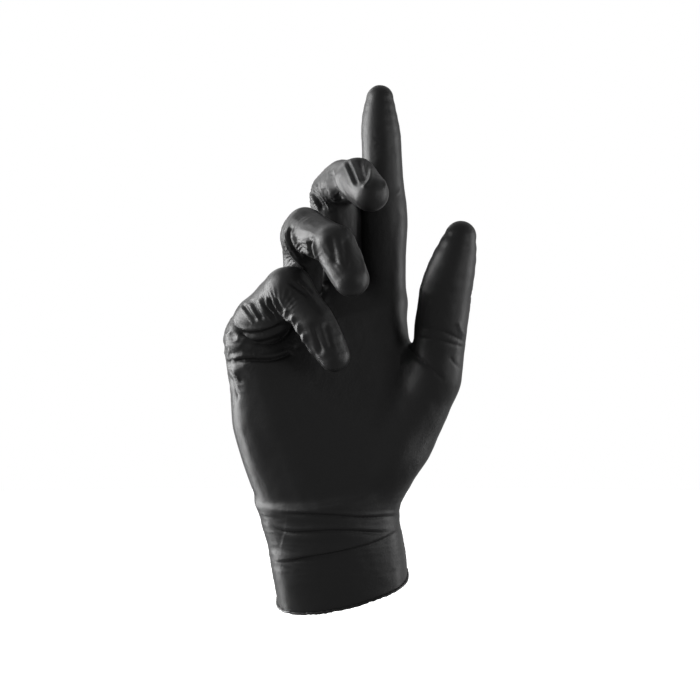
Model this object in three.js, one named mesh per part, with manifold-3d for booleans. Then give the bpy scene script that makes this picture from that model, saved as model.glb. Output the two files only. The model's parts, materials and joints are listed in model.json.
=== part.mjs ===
// A disposable dipped glove for the right hand, drawn in the shape it takes while it is worn:
// index finger and thumb up, the other three fingers curled over the palm.
// Millimetres, +Z up, the palm faces -Y and the thumb side is +X.
// The origin is the centre of the cuff opening.
//
// The glove is one film with a rolled bead at its rim. It is drawn here as the zones that move against
// each other: a stiff sleeve along every finger bone, and a strip of folding film round every knuckle.

import * as THREE from "three";
import { ConvexGeometry } from "three/addons/geometries/ConvexGeometry.js";
import { ParametricGeometry } from "three/addons/geometries/ParametricGeometry.js";
import { mergeVertices } from "three/addons/utils/BufferGeometryUtils.js";
import Module from "manifold-3d";

const wasm = await Module();
wasm.setup();

const at = (x, y, z) => new THREE.Vector3(x, y, z);
const radians = THREE.MathUtils.degToRad;

// ---- Driving dimensions ----------------------------------------------------------------------------

const WALL = 0.8; // the film, drawn thicker than the real 0.12 so that it is a solid
const GAP = 0.3; // between neighbouring zones
const FACETS = 12; // round a finger
const REACH = 600; // a cutting block, larger than the glove

const UP = at(0, 0, 1);
const ACROSS = at(1, 0, 0);
const BACKWARD = at(0, 1, 0);

// The forearm leans: going up from the rim it heads for the little-finger side and for the palm side.
const CUFF = {
  direction: at(-Math.tan(radians(9)), -Math.tan(radians(16)), 1).normalize(),
  wristHeight: 32, // from the rim to the wrist hinge, along the direction
  foldHalf: 8, // half the height of the folding zone round the wrist
  rimHalfWidth: 29.2,
  rimHalfDepth: 22.5,
  beadRadius: 0.65,
};

// Oval sections of the sleeve from rim to palm: height along the direction, half width, half depth.
const CUFF_SECTIONS = [
  { height: 0, halfWidth: CUFF.rimHalfWidth, halfDepth: CUFF.rimHalfDepth },
  { height: 30, halfWidth: 29.4, halfDepth: 21 },
  { height: 42, halfWidth: 31.8, halfDepth: 20.5 },
];

// Each finger: the knuckle it hinges on, the way it points when straight (leaning towards the little-finger
// side and the palm side), the turn of its hinge line about that way, and per bone its length, its bend and
// its greatest bend, all in degrees. radii has one more entry than there are bones: it ends at the tip.
const FINGERS = {
  index: {
    knuckle: at(18.4, -5, 129.6),
    lean: { side: 1.5, palm: 1 },
    turn: 12,
    lengths: [42, 25, 26.2],
    bends: [1, 1, 3],
    most: [30, 75, 65],
    radii: [9.3, 9.2, 8.6, 7.6],
  },
  middle: {
    knuckle: at(-1.6, -6, 133.2),
    lean: { side: 5.6, palm: 2.3 },
    turn: 20,
    lengths: [46.8, 28, 25],
    bends: [8, 82, 25],
    most: [50, 95, 70],
    radii: [9.3, 9.4, 8.8, 8.0],
  },
  ring: {
    knuckle: at(-18.8, -11, 126.4),
    lean: { side: 16.4, palm: 8 },
    turn: 26,
    lengths: [42, 26, 25],
    bends: [38, 70, 43],
    most: [60, 95, 70],
    radii: [9.3, 9.2, 8.6, 7.8],
  },
  little: {
    knuckle: at(-37.4, -19, 112.2),
    lean: { side: 11.5, palm: 12 },
    turn: 46,
    lengths: [34, 19, 22],
    bends: [50, 93, 12],
    most: [65, 104, 60],
    radii: [10.4, 9.2, 8.2, 7.2],
  },
};

// The thumb hinges on its root near the wrist and has two more joints above it.
const THUMB = {
  root: at(23, -17, 58),
  rootRadius: 12.4,
  knuckle: at(40.6, -20, 95.9),
  curlTowards: at(-0.9, -0.35, 0),
  lengths: [36, 31.3],
  bends: [20, -6.5],
  most: [54, 75],
  radii: [11.8, 11, 8.4],
};

// Round pads whose hull is the hand: each has a centre, a radius, and how far it spreads front to back.
const PALM_PADS = [
  { centre: at(17.3, -4, 124), radius: 10.6, spread: 3 },
  { centre: at(-1.3, -5, 126), radius: 11.4, spread: 3 },
  { centre: at(-19.3, -9.5, 121), radius: 11.6, spread: 3 },
  { centre: at(-38, -17, 107.5), radius: 12.8, spread: 2 },
  { centre: at(-34, -12, 77), radius: 14, spread: 2 },
  { centre: at(21.3, -16, 60), radius: 14, spread: 2 },
];
const WEB_PADS = [
  { centre: at(19, -8, 102), radius: 10, spread: 0 },
  { centre: at(38, -19, 98.5), radius: 9.3, spread: 0 },
  { centre: at(22, -14, 62), radius: 10, spread: 0 },
];

// Where the zones are cut.
const KNUCKLE_BELOW = 2; // the hand stops this far before a finger's first joint
const KNUCKLE_CLEAR = 13; // and the finger's stiff sleeve starts this far past it
const JOINT_CLEAR = 1.2; // the stiff sleeves stop this far either side of every other joint
const SPACE_ASIDE = 2; // the space kept for a stiff sleeve is this much wider than the sleeve
const WEB_POINT = at(29.3, 0, 110.3); // the lowest point of the notch between thumb and index finger
const THUMB_EDGE = at(34.5, 0, 95.9); // where the stiff part of the thumb's base starts, beside the web
const ROOT_CUT = { palmSide: 24, thumbSide: 31, above: 12 }; // distances from the thumb's root
const INDEX_EDGE = at(30.3, 0, 120); // clear of the index finger, towards the thumb
const HAND_MIDDLE = { point: at(-5, -10, 80), normal: at(-0.2, 1, 0) }; // parts the palm from the back

const BLACK = { color: 0x1b1b1d, roughness: 0.48, metalness: 0 };
const BLACK_FOLD = { color: 0x161617, roughness: 0.55, metalness: 0 };

// ---- Solids: joining, cutting and hulls -------------------------------------------------------------

function solidFrom(geometry) {
  const bare = geometry.clone();
  bare.deleteAttribute("normal");
  bare.deleteAttribute("uv");
  const merged = mergeVertices(bare, 1e-4);
  return new wasm.Manifold(
    new wasm.Mesh({
      numProp: 3,
      vertProperties: merged.attributes.position.array,
      triVerts: new Uint32Array(merged.index.array),
    }),
  );
}

function geometryFrom(solid) {
  const mesh = solid.getMesh();
  const geometry = new THREE.BufferGeometry();
  geometry.setAttribute("position", new THREE.BufferAttribute(mesh.vertProperties, mesh.numProp));
  geometry.setIndex(new THREE.BufferAttribute(mesh.triVerts, 1));
  return geometry;
}

const joinAll = (solids) => solids.reduce((joined, solid) => joined.add(solid));
const cutAll = (solid, tools) => tools.reduce((left, tool) => left.subtract(tool), solid);
const keepIn = (solid, tools) => tools.reduce((left, tool) => left.intersect(tool), solid);

// The block on the side of a plane that its normal points to. shift moves the plane along the normal.
function beyond(point, normal, shift = 0) {
  const way = normal.clone().normalize();
  const block = new THREE.BoxGeometry(REACH, REACH, REACH).translate(0, 0, REACH / 2 + shift);
  block.applyQuaternion(new THREE.Quaternion().setFromUnitVectors(UP, way));
  return solidFrom(block.translate(point.x, point.y, point.z));
}
const before = (point, normal, shift = 0) => beyond(point, normal.clone().negate(), -shift);

// A long round bar through a point, along the hand's front-to-back direction.
function crossBar(point, radius) {
  const bar = new THREE.CylinderGeometry(radius, radius, REACH, 4 * FACETS);
  return solidFrom(bar.translate(point.x, point.y, point.z));
}

// Points all over a ball whose poles lie along a hinge line.
function ballPoints(centre, radius, hinge = BACKWARD) {
  const ball = new THREE.SphereGeometry(radius, FACETS, FACETS / 2);
  ball.applyQuaternion(new THREE.Quaternion().setFromUnitVectors(BACKWARD, hinge));
  ball.translate(centre.x, centre.y, centre.z);
  const place = ball.attributes.position;
  return Array.from({ length: place.count }, (_, i) => new THREE.Vector3().fromBufferAttribute(place, i));
}

function padPoints(pad, shrink) {
  const ends = pad.spread ? [-pad.spread, pad.spread] : [0];
  return ends.flatMap((y) => ballPoints(pad.centre.clone().add(at(0, y, 0)), pad.radius - shrink));
}

const hullOf = (points) => solidFrom(new ConvexGeometry(points));

// ---- The forearm's oval tube ------------------------------------------------------------------------

const forearmAcross = ACROSS.clone().addScaledVector(CUFF.direction, -ACROSS.dot(CUFF.direction)).normalize();
const forearmBack = new THREE.Vector3().crossVectors(CUFF.direction, forearmAcross);
const wrist = CUFF.direction.clone().multiplyScalar(CUFF.wristHeight);

function ovalPoint(height, halfWidth, halfDepth, angle) {
  return CUFF.direction
    .clone()
    .multiplyScalar(height)
    .addScaledVector(forearmAcross, halfWidth * Math.cos(angle))
    .addScaledVector(forearmBack, halfDepth * Math.sin(angle));
}

function ovalPoints(section, shrink, rise = 0) {
  const count = 2 * FACETS;
  return Array.from({ length: count }, (_, i) =>
    ovalPoint(
      section.height + rise,
      section.halfWidth - shrink,
      section.halfDepth - shrink,
      (2 * Math.PI * i) / count,
    ),
  );
}

// Two tapered lengths. Each runs 1 mm into the next, and the hollow one also runs out of the rim.
function cuffSolid(shrink) {
  const [rim, waist, base] = CUFF_SECTIONS;
  const overlap = 1;
  const overrun = shrink > 0 ? -2 * overlap : 0;
  return joinAll([
    hullOf([...ovalPoints(rim, shrink, overrun), ...ovalPoints(waist, shrink, overlap)]),
    hullOf([...ovalPoints(waist, shrink), ...ovalPoints(base, shrink, overlap)]),
  ]);
}

// The rolled bead: a thin round roll that follows the rim.
function beadSolid() {
  const roll = CUFF.beadRadius;
  const place = (u, v, target) => {
    const angle = 2 * Math.PI * u;
    const turn = 2 * Math.PI * v;
    const reach = roll * Math.cos(turn) - roll / 2;
    const section = { halfWidth: CUFF.rimHalfWidth + reach, halfDepth: CUFF.rimHalfDepth + reach };
    target.copy(ovalPoint(roll * Math.sin(turn), section.halfWidth, section.halfDepth, angle));
  };
  return solidFrom(new ParametricGeometry(place, 4 * FACETS, 6));
}

// ---- Finger skeletons -------------------------------------------------------------------------------

// Adds to a finger its hinge line, and for each bone its start, end, direction and palm-side direction.
function skeleton(spec, straight, hinge) {
  const bones = [];
  let start = spec.knuckle;
  let bend = 0;
  spec.lengths.forEach((length, i) => {
    bend += spec.bends[i];
    const along = straight.clone().applyAxisAngle(hinge, radians(bend));
    const isTip = i === spec.lengths.length - 1;
    const reach = isTip ? length - spec.radii[i + 1] : length;
    const end = start.clone().addScaledVector(along, reach);
    bones.push({ start, end, along, radius: spec.radii[i], endRadius: spec.radii[i + 1] });
    start = end;
  });
  return { ...spec, straight, hinge, bones };
}

function fingerSkeleton(spec) {
  const straight = at(-Math.tan(radians(spec.lean.side)), -Math.tan(radians(spec.lean.palm)), 1).normalize();
  const turn = radians(spec.turn);
  const hinge = at(Math.cos(turn), Math.sin(turn), 0);
  hinge.addScaledVector(straight, -hinge.dot(straight)).normalize();
  return skeleton(spec, straight, hinge);
}

function thumbSkeleton(spec) {
  const straight = spec.knuckle.clone().sub(spec.root).normalize();
  const hinge = new THREE.Vector3().crossVectors(straight, spec.curlTowards).normalize();
  return skeleton(spec, straight, hinge);
}

const fingers = Object.fromEntries(Object.entries(FINGERS).map(([name, spec]) => [name, fingerSkeleton(spec)]));
const thumb = thumbSkeleton(THUMB);

// ---- Cuts at a joint --------------------------------------------------------------------------------

// The planes that end the part before a joint: one square to it, and one that leans back on the palm side
// so that the next bone can bend to its greatest angle. Both lie ease before the joint.
function endCuts(joint, along, hinge, most, ease) {
  const palmward = new THREE.Vector3().crossVectors(hinge, along);
  const half = radians(most / 2);
  const mitre = along.clone().multiplyScalar(Math.cos(half)).addScaledVector(palmward, Math.sin(half));
  return [before(joint, along, -ease), before(joint, mitre, -ease)];
}

// The same for the bone after a joint. Its square plane lies start past the joint, and its mitre ease past.
function startCuts(joint, along, hinge, most, start, ease) {
  const palmward = new THREE.Vector3().crossVectors(hinge, along);
  const half = radians(most / 2);
  const mitre = along.clone().multiplyScalar(Math.cos(half)).addScaledVector(palmward, -Math.sin(half));
  return [beyond(joint, along, start), beyond(joint, mitre, ease)];
}

function boneSolid(finger, i, shrink) {
  const bone = finger.bones[i];
  return hullOf([
    ...ballPoints(bone.start, bone.radius - shrink, finger.hinge),
    ...ballPoints(bone.end, bone.endRadius - shrink, finger.hinge),
  ]);
}

// The space that the stiff sleeve of bone i has to itself. spare moves its end planes outwards.
function boneSpace(finger, i, spare) {
  const bone = finger.bones[i];
  const start = (i === 0 ? KNUCKLE_CLEAR : JOINT_CLEAR) - spare;
  const ease = JOINT_CLEAR - spare;
  const cuts = startCuts(bone.start, bone.along, finger.hinge, finger.most[i], start, ease);
  if (i + 1 < finger.bones.length)
    cuts.push(...endCuts(bone.end, bone.along, finger.hinge, finger.most[i + 1], ease));
  return keepIn(boneSolid(finger, i, -SPACE_ASIDE), cuts);
}

const hollow = (make) => make(0).subtract(make(WALL));
const fingerSolid = (finger, shrink) => joinAll(finger.bones.map((_, i) => boneSolid(finger, i, shrink)));

function nearestBody(solid, point) {
  const distance = (body) => {
    const { min, max } = body.boundingBox();
    return at(...min).add(at(...max)).multiplyScalar(0.5).distanceTo(point);
  };
  return solid.decompose().reduce((best, body) => (distance(body) < distance(best) ? body : best));
}

// The largest of the bodies that a cut leaves.
function mainBody(solid) {
  return solid.decompose().reduce((best, body) => (body.volume() > best.volume() ? body : best));
}

// ---- Fingers past their knuckles --------------------------------------------------------------------

const ZONE_NAMES = {
  finger: { bones: ["proximal", "middle", "tip"], joints: ["midjoint_film", "endjoint_film"] },
  thumb: { bones: ["proximal", "tip"], joints: ["endjoint_film"] },
};

function fingerZones(name, finger, names) {
  const zones = {};
  finger.bones.forEach((_, i) => {
    const sleeve = hollow((shrink) => boneSolid(finger, i, shrink));
    zones[`${name}_${names.bones[i]}`] = mainBody(sleeve.intersect(boneSpace(finger, i, 0)));
  });
  const shell = hollow((shrink) => fingerSolid(finger, shrink));
  const films = cutAll(shell, finger.bones.map((_, i) => boneSpace(finger, i, GAP)));
  names.joints.forEach((joint, i) => {
    zones[`${name}_${joint}`] = nearestBody(films, finger.bones[i + 1].start);
  });
  return zones;
}

// ---- The hand, from the cuff to the knuckles --------------------------------------------------------

// Everything from the rim to the first bone of each finger, as one closed form.
function handSolid(shrink) {
  const palmBase = CUFF_SECTIONS[2];
  return joinAll([
    cuffSolid(shrink),
    hullOf([...ovalPoints(palmBase, shrink), ...PALM_PADS.flatMap((pad) => padPoints(pad, shrink))]),
    hullOf([
      ...ballPoints(thumb.root, thumb.rootRadius - shrink, thumb.hinge),
      ...ballPoints(thumb.knuckle, thumb.radii[0] - shrink, thumb.hinge),
    ]),
    hullOf(WEB_PADS.flatMap((pad) => padPoints(pad, shrink))),
    ...[...Object.values(fingers), thumb].map((finger) => boneSolid(finger, 0, shrink)),
  ]);
}

// The planes between neighbouring knuckles, each facing the finger that is nearer the thumb.
const knuckleDividers = Object.values(fingers)
  .slice(1)
  .map((finger, i) => {
    const nearer = Object.values(fingers)[i];
    const upward = nearer.straight.clone().add(finger.straight).normalize();
    const apart = nearer.knuckle.clone().sub(finger.knuckle);
    return {
      point: nearer.knuckle.clone().add(finger.knuckle).multiplyScalar(0.5),
      normal: apart.addScaledVector(upward, -apart.dot(upward)),
    };
  });

// The space from a finger's knuckle upwards, between its neighbours. ease is how far below the knuckle it
// starts, and spread moves its side planes outwards.
function knuckleSpace(finger, ease, spread) {
  const i = Object.values(fingers).indexOf(finger);
  const nearSide = knuckleDividers[i - 1] ?? { point: INDEX_EDGE, normal: ACROSS };
  const sides = [before(nearSide.point, nearSide.normal, spread)];
  const farSide = knuckleDividers[i];
  if (farSide) sides.push(beyond(farSide.point, farSide.normal, -spread));
  const whole = keepIn(beyond(finger.knuckle, finger.straight, -REACH / 3), sides);
  const [square, mitre] = endCuts(finger.knuckle, finger.straight, finger.hinge, finger.most[0], ease);
  return whole.subtract(square.intersect(mitre));
}

// The normal, towards the thumb, of an upright front-to-back plane that runs along a direction.
const thumbward = (along) => at(along.z, 0, -along.x);

// The thumb's side of the web, outside a round cut about the thumb's root. spare grows it.
function thumbSpace(spare) {
  const webLine = WEB_POINT.clone().sub(thumb.root);
  return keepIn(beyond(thumb.root, thumbward(webLine), -spare), [
    beyond(thumb.root, thumb.straight, ROOT_CUT.above - spare),
  ]).subtract(crossBar(thumb.root, ROOT_CUT.palmSide - spare));
}

// The space of the stiff sleeve round the thumb's base. spare grows it.
function thumbBaseSpace(spare) {
  const knuckleCuts = endCuts(thumb.knuckle, thumb.straight, thumb.hinge, thumb.most[0], JOINT_CLEAR - spare);
  return keepIn(
    beyond(THUMB_EDGE, thumbward(thumb.bones[0].along), -spare).subtract(
      crossBar(thumb.root, ROOT_CUT.thumbSide - spare),
    ),
    knuckleCuts,
  );
}

function forearmBetween(low, high) {
  const origin = at(0, 0, 0);
  return before(origin, CUFF.direction, high).intersect(beyond(origin, CUFF.direction, low));
}

function handZones() {
  const shell = hollow(handSolid);
  const sleeves = [...Object.values(fingers), thumb].map((finger) => boneSpace(finger, 0, GAP));
  const hand = cutAll(shell, sleeves);
  const foldLow = CUFF.wristHeight - CUFF.foldHalf;
  const foldHigh = CUFF.wristHeight + CUFF.foldHalf;
  const zones = {
    cuff: hand.intersect(forearmBetween(CUFF.beadRadius + GAP, foldLow)),
    wrist_film: hand.intersect(forearmBetween(foldLow + GAP, foldHigh - GAP)),
  };
  for (const [name, finger] of Object.entries(fingers)) {
    const space = knuckleSpace(finger, KNUCKLE_BELOW, -GAP / 2);
    zones[`${name}_knuckle_film`] = nearestBody(hand.intersect(space), finger.knuckle);
  }
  const [square, mitre] = endCuts(thumb.knuckle, thumb.straight, thumb.hinge, thumb.most[0], JOINT_CLEAR);
  const [squareNear, mitreNear] = endCuts(
    thumb.knuckle, thumb.straight, thumb.hinge, thumb.most[0], JOINT_CLEAR - GAP,
  );
  const thumbPart = hand.intersect(thumbSpace(0));
  const belowKnuckle = keepIn(thumbPart, [square, mitre]);
  zones.thumb_base = mainBody(belowKnuckle.intersect(thumbBaseSpace(0)));
  zones.thumb_web_film = mainBody(belowKnuckle.subtract(thumbBaseSpace(GAP)));
  zones.thumb_knuckle_film = nearestBody(thumbPart.subtract(squareNear.intersect(mitreNear)), thumb.knuckle);

  const cutAway = Object.values(fingers).map((finger) => knuckleSpace(finger, KNUCKLE_BELOW + GAP, GAP));
  const body = cutAll(hand.subtract(forearmBetween(-REACH / 3, foldHigh)), [...cutAway, thumbSpace(GAP)]);
  zones.palm = mainBody(body.intersect(before(HAND_MIDDLE.point, HAND_MIDDLE.normal, -GAP / 2)));
  zones.back_of_hand = mainBody(body.intersect(beyond(HAND_MIDDLE.point, HAND_MIDDLE.normal, GAP / 2)));
  return zones;
}

// ---- The glove --------------------------------------------------------------------------------------

const zones = { cuff_bead: beadSolid(), ...handZones(), ...fingerZones("thumb", thumb, ZONE_NAMES.thumb) };
for (const [name, finger] of Object.entries(fingers))
  Object.assign(zones, fingerZones(name, finger, ZONE_NAMES.finger));

const glove = new THREE.Group();
for (const [name, solid] of Object.entries(zones)) {
  const material = new THREE.MeshStandardMaterial(name.endsWith("_film") ? BLACK_FOLD : BLACK);
  const mesh = new THREE.Mesh(geometryFrom(solid), material);
  mesh.name = name;
  glove.add(mesh);
}

export default glove;
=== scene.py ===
"""A black disposable nitrile glove for the right hand, in the shape it takes when worn.

The film is one skin. It is raised over the hand that the joints describe, as a smooth distance field meshed
at under a millimetre, then folded: strokes press the larger creases in, and fans of small folds gather
inside every bent joint. The skin is cut into one piece per joint.
Lengths are in millimetres until a mesh is made, and in metres after that.
"""

import json
import math

import bmesh
import bpy
import numpy as np
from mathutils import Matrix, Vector

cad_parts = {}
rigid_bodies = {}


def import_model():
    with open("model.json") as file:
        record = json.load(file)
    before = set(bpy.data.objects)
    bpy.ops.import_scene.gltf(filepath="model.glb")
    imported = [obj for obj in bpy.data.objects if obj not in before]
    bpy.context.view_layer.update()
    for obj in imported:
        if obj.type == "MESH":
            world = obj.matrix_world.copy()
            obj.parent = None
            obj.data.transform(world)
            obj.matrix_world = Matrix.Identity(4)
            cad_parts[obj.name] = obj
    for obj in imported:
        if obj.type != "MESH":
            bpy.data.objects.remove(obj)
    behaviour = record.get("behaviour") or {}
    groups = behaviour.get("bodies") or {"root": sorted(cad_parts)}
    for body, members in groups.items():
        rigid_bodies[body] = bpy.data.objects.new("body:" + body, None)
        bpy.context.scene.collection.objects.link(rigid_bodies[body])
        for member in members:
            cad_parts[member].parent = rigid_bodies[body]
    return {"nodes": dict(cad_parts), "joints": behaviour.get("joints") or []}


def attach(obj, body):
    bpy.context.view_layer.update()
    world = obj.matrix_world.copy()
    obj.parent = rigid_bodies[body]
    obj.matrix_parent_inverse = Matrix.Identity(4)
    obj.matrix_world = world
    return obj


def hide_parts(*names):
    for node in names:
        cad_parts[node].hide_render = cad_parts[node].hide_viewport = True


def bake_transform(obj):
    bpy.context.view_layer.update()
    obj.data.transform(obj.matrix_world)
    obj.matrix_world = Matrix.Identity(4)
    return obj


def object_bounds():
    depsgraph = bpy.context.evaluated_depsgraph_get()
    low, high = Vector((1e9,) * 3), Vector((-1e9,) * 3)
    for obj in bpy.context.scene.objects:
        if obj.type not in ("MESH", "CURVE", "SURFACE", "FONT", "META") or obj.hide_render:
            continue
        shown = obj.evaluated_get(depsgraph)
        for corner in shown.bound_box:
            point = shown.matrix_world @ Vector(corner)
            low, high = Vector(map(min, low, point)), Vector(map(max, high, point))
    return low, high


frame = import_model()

CAD_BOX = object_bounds()
MM = 0.001

# ---- Sizes, in millimetres

STEP = 0.62  # spacing of the skin's points
FILM = 0.2  # thickness of the film
RIM_LIFT = 3.5  # how far the rim is drawn up at the thumb's side
APART = 1.1  # between two layers of film that lie on each other
BEAD_RADIUS = 0.62
FACE_PLANE = 10.0  # the drawn folds are measured in a plane this far in front of the origin
FACE_DISTANCE = 1000.0  # from the eye to that plane
EYE = np.array((3.06, 106.8))  # the eye's x and z
PICTURE_WIDTH = 306.4  # what the camera sees of that plane from left to right

# Each digit: the radii at its joints and of the end of its hull, how far its web reaches up its first bone,
# and its finger end: a narrower round end, and how far it is moved. A finger with a "free" length lies on the
# palm as a layer of its own from there on.
FINGERS = {
    "index": {"radii": (9.3, 9.2, 8.6, 7.6), "web": 7.0, "end": (6.2, (-0.9, 0, 0.3))},
    "middle": {"radii": (9.3, 9.2, 8.7, 8.0), "web": 7.5, "end": (7.6, (0, 0, 0))},
    "ring": {"radii": (9.3, 9.2, 8.6, 7.8), "web": 10.0, "free": 12.0, "end": (7.6, (-0.8, 0, 0))},
    "little": {"radii": (10.4, 9.3, 8.2, 7.2), "web": 9.5, "free": 11.0, "end": (7.0, (0.8, 0, -1.5))},
    "thumb": {"radii": (11.8, 10.9, 8.4), "web": 13.0, "end": (7.0, (1.1, 0, 0.9))},
}
TIP_BARS, TIP_ROUNDING = 5, 2.0  # the bars that make a finger end, and how late it narrows
FINGER_JOINTS = ("knuckle", "midjoint", "endjoint")
THUMB_JOINTS = ("knuckle", "endjoint")

# Round pads whose hulls are the palm and the web: centre, radius, and spread from front to back.
PALM_PADS = (
    ((17.3, -4, 124), 10.4, 3.0),
    ((-1.3, -5, 126), 11.2, 3.2),
    ((-19.3, -9.5, 121), 11.4, 3.2),
    ((-38, -17, 107.5), 12.6, 2.4),
    ((-34, -12, 77), 14.2, 2.0),
    ((20.6, -15, 60), 13.6, 2.0),
)
WEB_PADS = (
    ((19, -8, 101), 9.5, 0.0),
    ((38, -19, 97.5), 9.0, 0.0),
    ((22, -14, 62), 10.0, 0.0),
)
THUMB_ROOT_RADIUS = 12.2
PALM_BASE = (36, 29.8, 20.0)  # the oval that ends the palm's hull, as in CUFF_SECTIONS

# Oval sections of the cuff: height above the rim, half width, half depth.
CUFF_SECTIONS = ((0, 29.2, 22.5), (28, 29.4, 21.0), (42, 31.2, 20.5), (54, 34.0, 20.0))
CUFF_SQUARENESS = (14, 44), (2.7, 2.0)  # heights, and the power of the oval there: 2 is a plain oval
CUFF_TOP = 48

# How far two shapes melt into each other where they meet.
CUFF_MELT, BALL_MELT, WEB_MELT, ROOT_MELT = 3.0, 9.0, 5.0, 5.0
MELT_FREE = (0.3, 4.0)  # melting is off nearer a third layer than the first, and full past the second

# The grid: its margin round the glove, how far from its bones a finger is worked out, and the distance that
# stands for anywhere farther off.
GRID_MARGIN, FINGER_MARGIN, FAR_OFF = 4.0, 22.0, 60.0

# ---- Small helpers


def unit(v):
    v = np.asarray(v, float)
    return v / np.linalg.norm(v)


def smoothstep(low, high, x):
    t = np.clip((x - low) / (high - low), 0, 1)
    return t * t * (3 - 2 * t)


def mix(a, b, share):
    return a + (b - a) * share


def wave_noise(points, size, seed, waves=20):
    """Smooth random waves between about -1 and 1, with features about size long."""
    rng = np.random.default_rng(seed)
    ways = rng.normal(size=(waves, 3))
    ways *= (2 * math.pi / size) * rng.uniform(0.6, 1.4, (waves, 1)) / np.linalg.norm(ways, axis=1)[:, None]
    phases = rng.uniform(0, 2 * math.pi, waves)
    return np.sin(points @ ways.T + phases).sum(1) / math.sqrt(waves)


# ---- Skeleton, read from the frame

JOINTS = {joint["name"]: joint for joint in frame["joints"]}


def joint_point(name):
    return np.array(JOINTS[name]["pos_m"], float) / MM


def node_points(name):
    mesh = frame["nodes"][name].data
    flat = np.empty(len(mesh.vertices) * 3, np.float32)
    mesh.vertices.foreach_get("co", flat)
    return flat.reshape(-1, 3).astype(float) / MM


def tip_centre(name, joint, radius):
    """The middle of the round end of a tip node."""
    points = node_points(name)
    way = unit(points.mean(0) - joint)
    for _ in range(3):
        reach = (points - joint) @ way
        far = points[reach > reach.max() - radius / 2]
        way = unit(far.mean(0) - joint)
    return joint + way * (((points - joint) @ way).max() - radius)


def read_finger(name, spec):
    joint_names = THUMB_JOINTS if name == "thumb" else FINGER_JOINTS
    joints = [joint_point(f"{name}_{joint}") for joint in joint_names]
    end = tip_centre(f"{name}_tip", joints[-1], spec["radii"][-1])
    ends = joints[1:] + [end]
    hinge = unit(JOINTS[f"{name}_knuckle"]["axis"])
    bones = [
        {"start": a, "end": b, "along": unit(b - a), "length": np.linalg.norm(b - a),
         "radii": spec["radii"][i:i + 2]}
        for i, (a, b) in enumerate(zip(joints, ends))
    ]
    end_radius, moved = spec["end"]
    last = bones[-1]
    tip = last["end"] + last["along"] * (spec["radii"][-1] - end_radius) + np.array(moved)
    bars = [(b["start"], b["end"], *b["radii"]) for b in bones[:-1]]
    free = spec.get("free", bones[0]["length"])
    if "free" in spec:
        start, stop, wide, narrow = bars[0]
        share = free / bones[0]["length"]
        middle, radius = mix(start, stop, share), mix(wide, narrow, share)
        bars[:1] = [(start, middle, wide, radius), (middle, stop, radius, narrow)]
    shares = np.linspace(0, 1, TIP_BARS + 1)
    places = last["start"] + (tip - last["start"]) * shares[:, None]
    radii = last["radii"][0] + (end_radius - last["radii"][0]) * shares**TIP_ROUNDING
    bars += zip(places[:-1], places[1:], radii[:-1], radii[1:])
    return {"name": name, "bones": bones, "bars": bars, "hinge": hinge, "web": spec["web"], "free": free}


HAND = {name: read_finger(name, spec) for name, spec in FINGERS.items()}
WRIST = joint_point("wrist")
FOREARM = unit(WRIST)
ACROSS = unit(JOINTS["wrist"]["axis"])
BACK = np.cross(FOREARM, ACROSS)
THUMB_ROOT = joint_point("thumb_root")

# ---- The distance field


class Field:
    """Distances, in millimetres, on a regular grid: negative inside the hand."""

    def __init__(self, low, high, step):
        self.low = np.asarray(low, float)
        self.step = step
        self.shape = tuple(2 * np.ceil((np.asarray(high) - self.low) / step / 2).astype(int) + 1)

    def axes(self, box):
        return [self.low[k] + self.step * np.arange(box[k].start, box[k].stop) for k in range(3)]

    def box_round(self, points, margin):
        """The part of the grid within a margin of some points."""
        points = np.atleast_2d(points)
        first = np.floor((points.min(0) - margin - self.low) / self.step).astype(int)
        last = np.ceil((points.max(0) + margin - self.low) / self.step).astype(int) + 1
        return tuple(slice(max(0, a), min(n, b)) for a, b, n in zip(first, last, self.shape))

    def places(self, box, every=1):
        x, y, z = (axis.astype(np.float32)[::every] for axis in self.axes(box))
        return np.stack(np.meshgrid(x, y, z, indexing="ij"), -1)

    def sample(self, values, points):
        """Values between the grid's points, and their slope."""
        at = (points - self.low) / self.step
        cell = np.clip(np.floor(at).astype(int), 0, np.array(self.shape) - 2)
        f = at - cell
        i, j, k = cell.T
        c = {(a, b, d): values[i + a, j + b, k + d] for a in (0, 1) for b in (0, 1) for d in (0, 1)}
        fx, fy, fz = f.T
        x00, x10 = mix(c[0, 0, 0], c[1, 0, 0], fx), mix(c[0, 1, 0], c[1, 1, 0], fx)
        x01, x11 = mix(c[0, 0, 1], c[1, 0, 1], fx), mix(c[0, 1, 1], c[1, 1, 1], fx)
        y0, y1 = mix(x00, x10, fy), mix(x01, x11, fy)
        dx = mix(
            mix(c[1, 0, 0] - c[0, 0, 0], c[1, 1, 0] - c[0, 1, 0], fy),
            mix(c[1, 0, 1] - c[0, 0, 1], c[1, 1, 1] - c[0, 1, 1], fy),
            fz,
        )
        dy = mix(x10 - x00, x11 - x01, fz)
        slope = np.stack([dx, dy, y1 - y0], 1) / self.step
        return mix(y0, y1, fz), slope


def cone_distance(p, a, b, ra, rb):
    """Distance to a round bar from a to b that tapers from radius ra to rb."""
    a, b = np.asarray(a, np.float32), np.asarray(b, np.float32)
    ab = b - a
    t = np.clip((p - a) @ ab / (ab @ ab), 0, 1)
    return np.linalg.norm(p - a - t[..., None] * ab, axis=-1) - (ra + (rb - ra) * t)


SLIVER = 1e-4  # a hull's face smaller than this has no sure direction


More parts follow.
